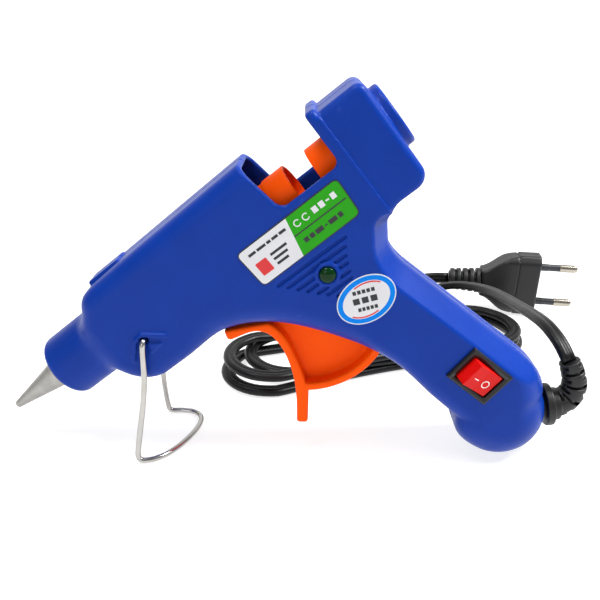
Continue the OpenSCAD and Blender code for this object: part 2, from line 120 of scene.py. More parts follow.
# ---------------------------------------------------------------- mesh helpers

def make_object(name, verts, faces, mats, smooth_shade=True, face_mats=None):
    mesh = bpy.data.meshes.new(name)
    mesh.from_pydata([tuple(v) for v in verts], [], [tuple(f) for f in faces])
    for m in mats:
        mesh.materials.append(m)
    if face_mats is not None:
        mesh.polygons.foreach_set("material_index", np.array(face_mats, np.int32))
    mesh.polygons.foreach_set("use_smooth", [smooth_shade] * len(mesh.polygons))
    mesh.validate()
    mesh.update()
    obj = bpy.data.objects.new(name, mesh)
    bpy.context.scene.collection.objects.link(obj)
    return obj


def settle(obj, ratio=None):
    """Applies a decimation and face-weighted normals."""
    if ratio:
        d = obj.modifiers.new("thin", "DECIMATE")
        d.ratio = ratio
    w = obj.modifiers.new("normals", "WEIGHTED_NORMAL")
    w.weight = 60
    bpy.context.view_layer.update()
    dg = bpy.context.evaluated_depsgraph_get()
    mesh = bpy.data.meshes.new_from_object(obj.evaluated_get(dg), depsgraph=dg)
    mesh.name = obj.name
    obj.modifiers.clear()
    obj.data = mesh
    return obj


def finish_piece(obj, body, slot, *nodes):
    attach(obj, body)
    if nodes:
        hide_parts(*nodes)
    return obj


def net(name, field, lo, hi, step, mat, ratio=0.35, place=None):
    """A closed surface where the field is zero (surface nets). The field's box is in mm."""
    if not FINE:
        step *= 1.7
    axes = [np.arange(lo[k], hi[k] + step, step) for k in range(3)]
    f = field(axes[0][:, None, None], axes[1][None, :, None], axes[2][None, None, :]).astype(np.float32)
    inside = f < 0
    n = [len(a) for a in axes]
    count = np.zeros([m - 1 for m in n], np.int8)
    corners = [(i, j, k) for i in (0, 1) for j in (0, 1) for k in (0, 1)]
    for c in corners:
        count += inside[c[0]:n[0] - 1 + c[0], c[1]:n[1] - 1 + c[1], c[2]:n[2] - 1 + c[2]]
    active = (count > 0) & (count < 8)
    index = np.full(count.shape, -1, np.int32)
    cells = np.argwhere(active)
    index[active] = np.arange(len(cells))
    vals = [f[cells[:, 0] + c[0], cells[:, 1] + c[1], cells[:, 2] + c[2]] for c in corners]
    total = np.zeros((len(cells), 3))
    hits = np.zeros(len(cells))
    for a in range(8):
        for b in range(a + 1, 8):
            ca, cb = np.array(corners[a]), np.array(corners[b])
            if abs(ca - cb).sum() != 1:
                continue
            va, vb = vals[a], vals[b]
            cross = (va < 0) != (vb < 0)
            t = np.where(cross, va / np.where(va == vb, 1, va - vb), 0)
            total += np.where(cross[:, None], ca + t[:, None] * (cb - ca), 0)
            hits += cross
    verts = np.array(lo) + step * (cells + total / hits[:, None])
    quads = []
    for ax in range(3):
        u, v = (ax + 1) % 3, (ax + 2) % 3
        first = [slice(None)] * 3
        second = [slice(None)] * 3
        first[ax], second[ax] = slice(0, -1), slice(1, None)
        for k in (u, v):
            first[k] = second[k] = slice(1, -1)
        a, b = inside[tuple(first)], inside[tuple(second)]
        at = np.argwhere(a != b)
        out = a[at[:, 0], at[:, 1], at[:, 2]]
        at[:, u] += 1
        at[:, v] += 1

        def cell(du, dv):
            q = at.copy()
            q[:, u] -= du
            q[:, v] -= dv
            return index[q[:, 0], q[:, 1], q[:, 2]]
        quad = np.stack([cell(1, 1), cell(0, 1), cell(0, 0), cell(1, 0)], 1)
        quads.append(np.where(out[:, None], quad, quad[:, ::-1]))
    quads = np.vstack(quads)
    if place is not None:
        verts = place(verts)
    mesh = bpy.data.meshes.new(name)
    mesh.vertices.add(len(verts))
    mesh.vertices.foreach_set("co", (verts * MM).astype(np.float32).ravel())
    mesh.loops.add(len(quads) * 4)
    mesh.loops.foreach_set("vertex_index", quads.astype(np.int32).ravel())
    mesh.polygons.add(len(quads))
    mesh.polygons.foreach_set("loop_start", np.arange(0, len(quads) * 4, 4, dtype=np.int32))
    mesh.materials.append(mat)
    mesh.update(calc_edges=True)
    mesh.validate()
    mesh.polygons.foreach_set("use_smooth", [True] * len(mesh.polygons))
    obj = bpy.data.objects.new(name, mesh)
    bpy.context.scene.collection.objects.link(obj)
    return settle(obj, ratio)


def lathe(name, profile, place, mat, sides=96, closed=False):
    """A turned piece: the profile is (radius, along) in mm; place maps (along, a, b) to the row frame."""
    rings = []
    verts = []
    for r, s in profile:
        ring = []
        for k in range(sides):
            a = 2 * math.pi * k / sides
            ring.append(len(verts))
            verts.append(place(s, r * math.cos(a), r * math.sin(a)))
        rings.append(ring)
    faces = []
    m = len(rings)
    for i in range(m if closed else m - 1):
        p, q = rings[i], rings[(i + 1) % m]
        for k in range(sides):
            j = (k + 1) % sides
            faces.append((p[k], p[j], q[j], q[k]))
    if not closed:
        faces.append(tuple(reversed(rings[0])))
        faces.append(tuple(rings[-1]))
    obj = make_object(name, np.array(verts) * MM, faces, [mat])
    fix_normals(obj)
    return settle(obj)


def fix_normals(obj):
    bm = bmesh.new()
    bm.from_mesh(obj.data)
    bmesh.ops.recalc_face_normals(bm, faces=bm.faces)
    bm.to_mesh(obj.data)
    bm.free()


def rounded(points, radius=0.25, n=3):
    """A lathe profile with its corners rounded."""
    out = []
    p = [np.array(q, float) for q in points]
    for i in range(len(p)):
        a, b, c = p[i - 1], p[i], p[(i + 1) % len(p)]
        if i == 0 or i == len(p) - 1:
            out.append(tuple(b))
            continue
        d0, d1 = np.linalg.norm(a - b), np.linalg.norm(c - b)
        r = min(radius, 0.45 * d0, 0.45 * d1)
        u, w = b + (a - b) / d0 * r, b + (c - b) / d1 * r
        for t in np.linspace(0, 1, n + 1):
            out.append(tuple((1 - t) ** 2 * u + 2 * t * (1 - t) * b + t * t * w))
    return out


def on_axis(s, a, b):
    x, z = B(s, b)
    return (x, a, z)


def tube(name, path, section, mat, roll=None):
    """A capped mesh tube along the path (mm). section is a list of (across, up)."""
    p = np.array(path, float)
    t = np.gradient(p, axis=0)
    t /= np.linalg.norm(t, axis=1)[:, None]
    verts, faces = [], []
    side = None
    for i in range(len(p)):
        up = np.array([0, 0, 1.0]) if side is None else np.cross(t[i], side)
        if side is None and abs(t[i][2]) > 0.97:
            up = np.array([0, 1.0, 0])
        side = np.cross(up, t[i])
        side /= np.linalg.norm(side)
        if roll is not None:
            flat = np.cross([0, 0, 1.0], t[i])
            if np.linalg.norm(flat) > 0.3:
                flat /= np.linalg.norm(flat)
                if flat @ side < 0:
                    flat = -flat
                side = side + 0.35 * (flat - side)
                side -= (side @ t[i]) * t[i]
                side /= np.linalg.norm(side)
        v = np.cross(t[i], side)
        a = 0 if roll is None else roll[i]
        e1, e2 = math.cos(a) * side + math.sin(a) * v, -math.sin(a) * side + math.cos(a) * v
        verts += [p[i] + x * e1 + y * e2 for x, y in section]
    m = len(section)
    for i in range(len(p) - 1):
        for k in range(m):
            j = (k + 1) % m
            faces.append((i * m + k, i * m + j, (i + 1) * m + j, (i + 1) * m + k))
    faces.append(tuple(range(m))[::-1])
    faces.append(tuple((len(p) - 1) * m + k for k in range(m)))
    return make_object(name, np.array(verts) * MM, faces, [mat])


def circle(r, n=16):
    return [(r * math.cos(2 * math.pi * k / n), r * math.sin(2 * math.pi * k / n)) for k in range(n)]


# ---------------------------------------------------------------- field helpers

def smin(a, b, k):
    h = np.clip(0.5 + 0.5 * (b - a) / k, 0, 1)
    return b + (a - b) * h - k * h * (1 - h)


def smax(a, b, k):
    return -smin(-a, -b, k)


def step01(x, a, b):
    t = np.clip((x - a) / (b - a), 0, 1)
    return t * t * (3 - 2 * t)


def poly_field(points, x, z):
    """Distance to a closed outline, negative inside."""
    x, z = np.broadcast_arrays(x, z)
    best = np.full(x.shape, 1e9)
    odd = np.zeros(x.shape, bool)
    for a, b in zip(points, list(points[1:]) + [points[0]]):
        ex, ez = b[0] - a[0], b[1] - a[1]
        if ex * ex + ez * ez < 1e-9:
            continue
        wx, wz = x - a[0], z - a[1]
        t = np.clip((wx * ex + wz * ez) / (ex * ex + ez * ez), 0, 1)
        best = np.minimum(best, (wx - ex * t) ** 2 + (wz - ez * t) ** 2)
        if ez != 0:
            odd ^= ((a[1] <= z) != (b[1] <= z)) & (wx < wz * ex / ez)
    return np.where(odd, -1, 1) * np.sqrt(best)


def line_field(points, x, z):
    """Distance to an open line."""
    best = np.full(np.broadcast(x, z).shape, 1e9)
    for a, b in zip(points, points[1:]):
        ex, ez = b[0] - a[0], b[1] - a[1]
        t = np.clip(((x - a[0]) * ex + (z - a[1]) * ez) / (ex * ex + ez * ez), 0, 1)
        best = np.minimum(best, (x - a[0] - ex * t) ** 2 + (z - a[1] - ez * t) ** 2)
    return np.sqrt(best)


def slab(d, y, half, r):
    """An outline's field thickened to |y| < half, its edges rounded by r."""
    a, b = d + r, np.abs(y) - (half - r)
    return np.minimum(np.maximum(a, b), 0) + np.hypot(np.maximum(a, 0), np.maximum(b, 0)) - r


def rect_field(u, v, hu, hv, r):
    a, b = np.abs(u) - hu + r, np.abs(v) - hv + r
    return np.minimum(np.maximum(a, b), 0) + np.hypot(np.maximum(a, 0), np.maximum(b, 0)) - r


# ---------------------------------------------------------------- materials

def srgb(r, g, b):
    return tuple((c / 255 / 12.92) if c / 255 <= 0.04045 else ((c / 255 + 0.055) / 1.055) ** 2.4
                 for c in (r, g, b)) + (1.0,)


def material(name, colour, rough=0.5, metal=0.0, grain=0.0004, bump=0.1, mottle=0.05, edge_highlight=0.0, spread=0.06,
             specular=0.5, through=0.0, deep=0.0, stretch=None, turn=0.0, patch=0.012, emit=0.0):
    """A procedural finish: tone and roughness vary over patches, a fine grain gives bump, convex edges get a
    painted highlight.

    grain and patch are sizes in metres. stretch and turn draw the grain out along one direction.
    """
    mat = bpy.data.materials.new(name)
    mat.use_nodes = True
    nt = mat.node_tree
    nodes, link = nt.nodes, nt.links.new
    bsdf = nodes["Principled BSDF"]
    bsdf.inputs["Metallic"].default_value = metal
    bsdf.inputs["Specular IOR Level"].default_value = specular
    bsdf.inputs["Transmission Weight"].default_value = through
    bsdf.inputs["IOR"].default_value = 1.45
    if deep:
        bsdf.inputs["Subsurface Weight"].default_value = deep
        bsdf.inputs["Subsurface Radius"].default_value = (0.004, 0.001, 0.0006)
        bsdf.inputs["Subsurface Scale"].default_value = 0.6
    coords = nodes.new("ShaderNodeTexCoord")
    vector = coords.outputs["Object"]
    if stretch is not None:
        mapping = nodes.new("ShaderNodeMapping")
        mapping.inputs["Rotation"].default_value = (0, turn, 0)
        link(vector, mapping.inputs["Vector"])
        scaled = nodes.new("ShaderNodeMapping")
        scaled.inputs["Scale"].default_value = stretch
        link(mapping.outputs["Vector"], scaled.inputs["Vector"])
        grain_vector = scaled.outputs["Vector"]
    else:
        grain_vector = vector
    big = nodes.new("ShaderNodeTexNoise")
    big.inputs["Scale"].default_value = 1 / patch
    big.inputs["Detail"].default_value = 4
    link(vector, big.inputs["Vector"])
    ramp = nodes.new("ShaderNodeValToRGB")
    c = np.array(colour[:3])
    ramp.color_ramp.elements[0].position = 0.3
    ramp.color_ramp.elements[0].color = tuple(c * (1 - mottle)) + (1,)
    ramp.color_ramp.elements[1].position = 0.7
    ramp.color_ramp.elements[1].color = tuple(np.minimum(c * (1 + mottle) + 0.01 * mottle, 1)) + (1,)
    link(big.outputs["Fac"], ramp.inputs["Fac"])
    colour_out = ramp.outputs["Color"]
    small = nodes.new("ShaderNodeTexNoise")
    small.inputs["Scale"].default_value = 1 / grain
    small.inputs["Detail"].default_value = 3
    small.inputs["Roughness"].default_value = 0.6
    link(grain_vector, small.inputs["Vector"])
    # Painted highlight: convex edges, found by pointiness, are mixed towards a lighter colour.
    if edge_highlight > 0:
        geometry = nodes.new("ShaderNodeNewGeometry")
        edge = nodes.new("ShaderNodeMapRange")
        edge.inputs["From Min"].default_value = 0.53
        edge.inputs["From Max"].default_value = 0.62
        edge.inputs["To Max"].default_value = edge_highlight
        link(geometry.outputs["Pointiness"], edge.inputs["Value"])
        mix = nodes.new("ShaderNodeMix")
        mix.data_type = "RGBA"
        link(edge.outputs["Result"], mix.inputs["Factor"])
        link(colour_out, mix.inputs[6])
        mix.inputs[7].default_value = tuple(np.minimum(c * 1.5 + 0.06, 1)) + (1,)
        colour_out = mix.outputs[2]
    link(colour_out, bsdf.inputs["Base Color"])
    if emit:
        bsdf.inputs["Emission Strength"].default_value = emit
        bsdf.inputs["Emission Color"].default_value = colour
    vary = nodes.new("ShaderNodeMapRange")
    vary.inputs["To Min"].default_value = max(0.02, rough - spread)
    vary.inputs["To Max"].default_value = min(1, rough + spread)
    link(small.outputs["Fac"] if stretch is not None else big.outputs["Fac"], vary.inputs["Value"])
    link(vary.outputs["Result"], bsdf.inputs["Roughness"])
    if bump:
        height = nodes.new("ShaderNodeBump")
        height.inputs["Strength"].default_value = bump
        height.inputs["Distance"].default_value = grain * 0.5
        link(small.outputs["Fac"], height.inputs["Height"])
        link(height.outputs["Normal"], bsdf.inputs["Normal"])
    return mat


# Each finish's edge setting below sets the strength of its painted edge highlight, a lighter colour on convex
# edges.
BLUE = material("casing_blue", srgb(2, 50, 146), rough=0.38, grain=0.0005, bump=0.3, mottle=0.05,
                edge_highlight=0.12, spread=0.05, specular=0.16)
ORANGE = material("feed_orange", srgb(255, 84, 0), rough=0.42, grain=0.0006, bump=0.08, mottle=0.04,
                  edge_highlight=0.1, specular=0.08)
CORD_BLACK = material("cord_black", srgb(8, 8, 9), rough=0.4, grain=0.0012, bump=0.12, mottle=0.12,
                      spread=0.1, specular=0.28, edge_highlight=0.05)
RUBBER = material("boot_black", srgb(13, 13, 14), rough=0.45, grain=0.0005, bump=0.25, mottle=0.12,
                  edge_highlight=0.12, spread=0.08)
PLUG_BLACK = material("plug_black", srgb(13, 13, 14), rough=0.42, grain=0.0006, bump=0.25, mottle=0.12,
                      edge_highlight=0.12, spread=0.08)
SWITCH_BLACK = material("switch_black", srgb(17, 17, 18), rough=0.36, grain=0.0004, bump=0.12,
                        edge_highlight=0.15, spread=0.07)
RED = material("rocker_red", srgb(205, 8, 4), rough=0.32, grain=0.0012, bump=0.03, mottle=0.08,
               spread=0.04, specular=0.15)
WHITE_INK = material("mark_white", srgb(240, 238, 232), rough=0.5, grain=0.0003, bump=0.05, mottle=0.03)
ALUMINIUM = material("nozzle_metal", srgb(158, 156, 152), rough=0.36, metal=1.0, grain=0.0005, bump=0.3,
                     mottle=0.1, spread=0.12, stretch=(1.0, 0.06, 0.06), turn=BARREL, patch=0.003, edge_highlight=0.2)
STEEL = material("steel", srgb(176, 174, 170), rough=0.2, metal=1.0, grain=0.0015, bump=0.06,
                 mottle=0.08, spread=0.1, patch=0.004)
PLATED = material("plated", srgb(168, 162, 150), rough=0.24, metal=1.0, grain=0.001, bump=0.05,
                  mottle=0.06, spread=0.08, patch=0.004)
SLEEVE = material("sleeve_grey", srgb(46, 48, 52), rough=0.34, grain=0.0006, bump=0.1, mottle=0.1)
GREEN_LENS = material("led_green", srgb(2, 44, 14), rough=0.06, grain=0.001, bump=0.02, mottle=0.15,
                      specular=0.2, spread=0.03)
SILICONE = material("silicone", srgb(214, 208, 196), rough=0.55, grain=0.0006, bump=0.1, deep=0.2)
CERAMIC = material("ceramic", srgb(90, 88, 86), rough=0.7, grain=0.0003, bump=0.3, mottle=0.12)
FILM = material("film", srgb(186, 122, 30), rough=0.25, grain=0.001, bump=0.1, through=0.2)
SPRING = material("spring_steel", srgb(120, 122, 126), rough=0.28, metal=1.0, grain=0.0008, bump=0.1)
CAST = material("heater_metal", srgb(168, 168, 170), rough=0.42, metal=1.0, grain=0.0006, bump=0.25)
BRASS = material("brass", srgb(196, 152, 76), rough=0.28, metal=1.0, grain=0.0008, bump=0.08)
BOARD = material("board", srgb(30, 84, 44), rough=0.4, grain=0.0005, bump=0.12, mottle=0.12)
WIRE = material("wire_insulation", srgb(150, 26, 20), rough=0.4, grain=0.0006, bump=0.08)
GREY = material("clamp_grey", srgb(70, 71, 74), rough=0.5, grain=0.0005, bump=0.15)
LABEL_WHITE = material("label_white", srgb(214, 214, 218), rough=0.4, grain=0.0004, bump=0.03,
                       mottle=0.03, specular=0.2)
LABEL_GREEN = material("label_green", srgb(38, 152, 18), rough=0.4, grain=0.0004, bump=0.03,
                       mottle=0.05, specular=0.15)
LABEL_DARK = material("label_dark", srgb(24, 26, 32), rough=0.36, grain=0.0004, bump=0.03, mottle=0.06)
LABEL_RED = material("label_red", srgb(206, 30, 34), rough=0.34, grain=0.0004, bump=0.03, mottle=0.05)
STICKER_BLUE = material("sticker_blue", srgb(0, 124, 222), rough=0.4, grain=0.0004, bump=0.03,
                        mottle=0.04, specular=0.1)
FLOOR = material("floor", srgb(170, 170, 170), rough=0.7, grain=0.002, bump=0.02, mottle=0.01,
                 patch=0.2, specular=0.2, emit=1.9)


# ---------------------------------------------------------------- cord

CORD_WIDTH, CORD_LOBE, LOBE_AT = 5.6, 1.7, 1.1
HANK_MID, HANK_TURN = (44, 60.5), math.radians(20)
LOW, MID, HIGH = 1.9, 5.3, 9.2
BOOT_LINE = [(93, 0, 17.2), (97.4, 0, 18.2), (100.6, 0, 21), (101.6, 0, 25.4), (100.4, 0.3, 30),
             (98.6, 0.6, 34)]
LEAD = [(98.6, 0.6, 34), (96.5, 6, 38.4), (94.8, 15, 40.4), (94.4, 27, 38.8), (94.8, 40, 35.8), (95, 52, 33),
        (94.6, 65, 30.2), (93, 78, 27.4), (88.6, 90, 24.4), (81, 99.5, 21), (71, 104.8, 16), (59, 105, 10),
        (47, 99.8, 4.8), (35, 90.5, 2.2), (22, 79.5, 1.9)]
TAIL = [(27, 71.6, 9.2), (17.5, 73.4, 9.2), (10.5, 79.5, 9.0), (7.6, 89.5, 7.2), (9.6, 100.5, 4.4),
        (17, 112, 3.0), (28, 121, 3.2), (41, 126.4, 5), (54, 127.4, 8.6), (66, 125.8, 12.6),
        (76, 123.2, 15.4), (84, 122, 16)]


def hank_point(u, v, z):
    c, s = math.cos(HANK_TURN), math.sin(HANK_TURN)
    return (HANK_MID[0] + u * c - v * s, HANK_MID[1] + u * s + v * c, z)


def half_turn(u, start, end, side, z0, z1, wait=0.0):
    """A half turn about u from v = start to v = end, bulging to the given side."""
    r = abs(end - start) / 2
    line = []
    for t in np.linspace(0.08, 0.92, 8):
        a = math.pi * t
        v = start + (end - start) * (1 - math.cos(a)) / 2
        line.append(hank_point(u + side * r * math.sin(a), v, z0 + (z1 - z0) * float(step01(t, wait, 1))))
    return line


def hank_line():
    """Three stacked turns: each is a back run to the left, a turn, a front run to the right and a turn."""
    # left and right ends, the back run's v, the front run's v at its left and right, how far it is pinched in,
    # and the heights of the back run, the left turn and the front run
    turns = [(-51.5, 51, 20.7, -13.7, -13.7, 4.6, LOW, LOW, LOW),
             (-40, 50, 26.4, -8.0, -14.0, 1.5, MID, MID, MID),
             (-50.5, 50, 20.4, -14.2, -14.2, 3.6, 5.6, HIGH, 8.7)]
    ends = [(26.4, MID), (20.4, 5.6), (20.2, HIGH)]
    line = []
    for k, (left, right, back, front, far, pinch, z_back, z_left, z_front) in enumerate(turns):
        for u in ([-34] if k == 0 else np.linspace(right, left, 8)):
            line.append(hank_point(u, back, z_left + (z_back - z_left) * float(step01(u, -44, -28))))
        line += half_turn(left, back, front, -1, z_left, z_front)
        for t in np.linspace(0, 1, 7):
            line.append(hank_point(left + (right - left) * t,
                                   front + (far - front) * t + pinch * math.sin(math.pi * t), z_front))
        line += half_turn(right, far, ends[k][0], 1, z_front, ends[k][1], 0.5)
    for t in np.linspace(0, 1, 5):
        line.append(hank_point(50 - 54 * t, 20.2 - 3.2 * t, HIGH))
    return line


def cord_section():
    """A flat twin: two lobes side by side."""
    out = []
    for k in range(24):
        a = 2 * math.pi * k / 24
        c, s = abs(math.cos(a)), math.sin(a)
        r = LOBE_AT * c + math.sqrt(max(CORD_LOBE ** 2 - (LOBE_AT * s) ** 2, 0))
        out.append((r * math.cos(a), r * math.sin(a)))
    return out


def make_cord():
    path = smooth(LEAD + hank_line() + TAIL, 2.6)
    length = float(np.linalg.norm(np.diff(path, axis=0), axis=1).sum())
    s = np.concatenate([[0], np.cumsum(np.linalg.norm(np.diff(path, axis=0), axis=1))])
    roll = [math.pi / 2 * float(step01(v, length - 90, length - 25)) for v in s]
    obj = tube("mains_cord", path, cord_section(), CORD_BLACK, roll=roll)
    finish_piece(obj, "casing", "cord_black", "cord_lead", "cord_hank", "cord_tail")
    return obj, path, length


# ---------------------------------------------------------------- plug

PLUG_AT, PLUG_TURN = (101, 120, 16), math.radians(-7)
PLUG_L, PIN_HALF_GAP, PIN_R = 27.5, 9.3, 2.0


def at_plug(v):
    c, s = math.cos(PLUG_TURN), math.sin(PLUG_TURN)
    v = np.asarray(v, float)
    return np.stack([PLUG_AT[0] + v[..., 0] * c - v[..., 1] * s, PLUG_AT[1] + v[..., 0] * s + v[..., 1] * c,
                     PLUG_AT[2] + v[..., 2]], -1)


def plug_field(x, y, z):
    flare = [np.array([-1.0, 6.6])] + bez((-1, 6.6), (5, 7.4), (8, 14.6), (16.4, 15.3), 8)
    upper = flare + [np.array([16.4, 15.1]), np.array([16.9, 15.8]), np.array([PLUG_L, 15.9])]
    outline = upper + [p * np.array([1, -1]) for p in reversed(upper)]
    d = poly_field(outline, x, z)
    half = 5.6 + 1.1 * step01(x, 0, 14)
    f = slab(d, y, half, 1.3)
    edge = (np.abs(z) - 13.9) * 0.6 + (np.abs(y) - 5.6) * 0.8
    f = smax(f, edge, 0.8)
    groove = np.maximum(np.abs(x - 16.7) - 0.3, -(f + 0.35))
    f = smax(f, -groove, 0.2)
    part = np.maximum(np.abs(y) - 0.16, -(f + 0.2))
    return smax(f, -part, 0.12)


def relief_field(x, y, z):
    """The plug's corded neck: rings with staggered gaps round a core."""
    r = np.hypot(y, z)
    f = np.maximum(r - 4.1, np.abs(x + 8) - 8.9)
    a = np.arctan2(z, y)
    for k in range(5):
        cx = -15.2 + 3.25 * k
        rr = 5.5 + 0.25 * k
        ring = rect_field(x - cx, r - 2, 1.05, rr - 2, 0.35)
        f = smin(f, ring, 0.25)
        if k < 4:
            rib = np.maximum(np.abs(x - cx - 1.6) - 1.4, r - rr + 0.25)
            side = np.abs(np.sin(a)) if k % 2 else np.abs(np.cos(a))
            f = smin(f, np.maximum(rib, side * r - 0.8), 0.25)
    return f


def make_plug():
    body = net("plug_body_moulding", plug_field, (-3, -9, -18), (30, 9, 18), 0.4, PLUG_BLACK, 0.3, at_plug)
    finish_piece(body, "casing", "cord_black", "plug_body")
    neck = net("plug_neck", relief_field, (-19, -7, -7), (3, 7, 7), 0.3, RUBBER, 0.4, at_plug)
    finish_piece(neck, "casing", "cord_black", "plug_relief")
    pins, sleeves = [], []
    for name, side in (("low", -1), ("high", 1)):
        def place(s, a, b, side=side):
            return at_plug((s, a, b + side * PIN_HALF_GAP))
        e = PLUG_L
        prof = [(0.01, e - 1), (1.45, e - 1), (1.45, e + 10), (PIN_R, e + 10.1), (PIN_R, e + 17.6),
                (1.5, e + 18.6), (0.7, e + 19), (0.01, e + 19)]
        pin = lathe("pin_" + name, rounded(prof, 0.3), place, PLATED, 32)
        prof = [(1.46, e - 0.5), (2.3, e - 0.5), (2.3, e + 0.7), (1.85, e + 1), (1.85, e + 4.6),
                (1.75, e + 4.8), (1.75, e + 10), (1.46, e + 10)]
        sleeve = lathe("sleeve_" + name, rounded(prof, 0.12), place, SLEEVE, 32)
        pins.append(pin)
        sleeves.append(sleeve)
        finish_piece(pin, "casing", "plated", "plug_pins")
        finish_piece(sleeve, "casing", "sleeve_grey", "pin_sleeves")
    return [body, neck] + pins + sleeves


# ---------------------------------------------------------------- strain relief boot

def boot_field(x, y, z):
    line = smooth(BOOT_LINE, 1.0)
    best = np.full(np.broadcast(x, y, z).shape, 1e9)
    along = np.zeros_like(best)
    ax, az = np.zeros_like(best), np.zeros_like(best)
    s = 0.0
    for a, b in zip(line, line[1:]):
        e = b - a
        l = np.linalg.norm(e)
        wx, wy, wz = x - a[0], y - a[1], z - a[2]
        t = np.clip((wx * e[0] + wy * e[1] + wz * e[2]) / (l * l), 0, 1)
        dx, dy, dz = wx - e[0] * t, wy - e[1] * t, wz - e[2] * t
        d = dx * dx + dy * dy + dz * dz
        near = d < best
        best = np.where(near, d, best)
        along = np.where(near, s + t * l, along)
        out = dx * (e[2] / l) - dz * (e[0] / l)
        ax = np.where(near, out, ax)
        az = np.where(near, dy, az)
        s += l
    r = np.sqrt(best)
    t = along / s
    tip = np.maximum(along - (s - 0.02), -along)
    radius = 5.1 - 1.5 * t
    f = r - radius
    angle = np.arctan2(az, ax)
    pitch = 2.55
    for k in range(8):
        at = 3.6 + k * pitch
        gap = np.abs(along - at) - 0.55
        keep = np.abs(np.sin(angle)) if k % 2 else np.abs(np.cos(angle))
        cut = np.maximum(np.maximum(gap, keep * r - radius * 0.8), (radius - 1.5) - r)
        f = smax(f, -cut, 0.35)
    f = np.maximum(f, tip)
    gx, gz = x - 91.5, z - 17
    c8, s8 = math.cos(math.radians(8)), math.sin(math.radians(8))
    u, v = gx * c8 + gz * s8, -gx * s8 + gz * c8
    rr = np.hypot(v, y)
    disc = slab(rr - 7.3, u - 1.9, 1.35, 0.5)
    collar = slab(rr - 5.6, u - 3.6, 2.1, 0.6)
    stem = np.maximum(rr - 4.3, np.abs(u + 1.5) - 4)
    return smin(smin(np.minimum(disc, stem), collar, 0.4), f, 0.5)


def make_boot():
    obj = net("cord_boot", boot_field, (86, -9, 7), (109, 9, 37), 0.32, RUBBER, 0.4)
    return finish_piece(obj, "casing", "cord_black", "strain_relief")


# ---------------------------------------------------------------- casing

BACK_LOW, BACK_TOP, THROAT_MID = (79.8, 39.2), (41, 67.9), (33.2, 79.4)
SCREW_BOSS_R, SCREW_HOLE_R = 4.2, 3.0
LAMP_R, LAMP_HOLE_R, LAMP_RING_R = 2.5, 2.6, 3.2


def casing_outline():
    deg = math.degrees(BARREL)
    start, low, end = B(72, -20), np.array([-1.7, 49.3]), np.array([36.7, 37.4])
    top = B(148, -19.5)
    out = [B(43, -8)] + bez(B(43, -8), B(44.2, -12), B(47.4, -19), B(55, -20), 8)
    out += [start]
    out += bez(start, start + 8 * np.array([CB, SB]), low - [9, 0], low, 10)
    out += bez(low, low + [10, 0], end + [-9, 5], end, 10)
    out += bez(end, end + [5, -2.8], (47, 28.6), (51, 25.2), 6)
    out += [np.array([58.6, 18.8])]
    out += arc((76.2, 15.8), 15.8, 175, 390, 40)
    out += bez((89.9, 23.7), (90.6, 29), (86.5, 34), BACK_LOW, 8)
    out += [np.array(BACK_TOP)]
    out += bez(BACK_TOP, (36.3, 71.3), (33.1, 75), THROAT_MID, 8)
    out += bez(THROAT_MID, (32.7, 83.5), (32.2, 88.2), top, 8)
    out += arc(B(153.6, -14.8), 4.7, 270 + deg, 360 + deg)
    out += arc(B(155.4, 11.9), 2.9, deg, 90 + deg, 6)
    out += [B(143.95, 14.9)]
    out += arc(B(142.9, 15.5), 1.1, deg, 90 + deg, 4) + [B(140.9, 16.7), B(118, 17.5), B(68, 16.9),
            B(58, 16.6)]
    out += bez(B(58, 16.6), B(53, 16.3), B(51.4, 16), B(48.6, 12.2), 8) + [B(44.6, 8.4)]
    return out


SCREWS = [B(53, -14), B(98, 11.4), B(151.5, -13), np.array([46, 54]), np.array([80.5, 8.5])]
VENT_ROWS = [(104 + 2.05 * k, e, n) for k, (e, n) in enumerate(zip(
    (129.2, 127.5, 125.9, 124.8, 123.8, 123.1, 121.5), (-17.5, -19.8, -22.15, -24.3, -26.8, -28.9, -31.1)))]
LED_AT = B(118.1, -23.6)


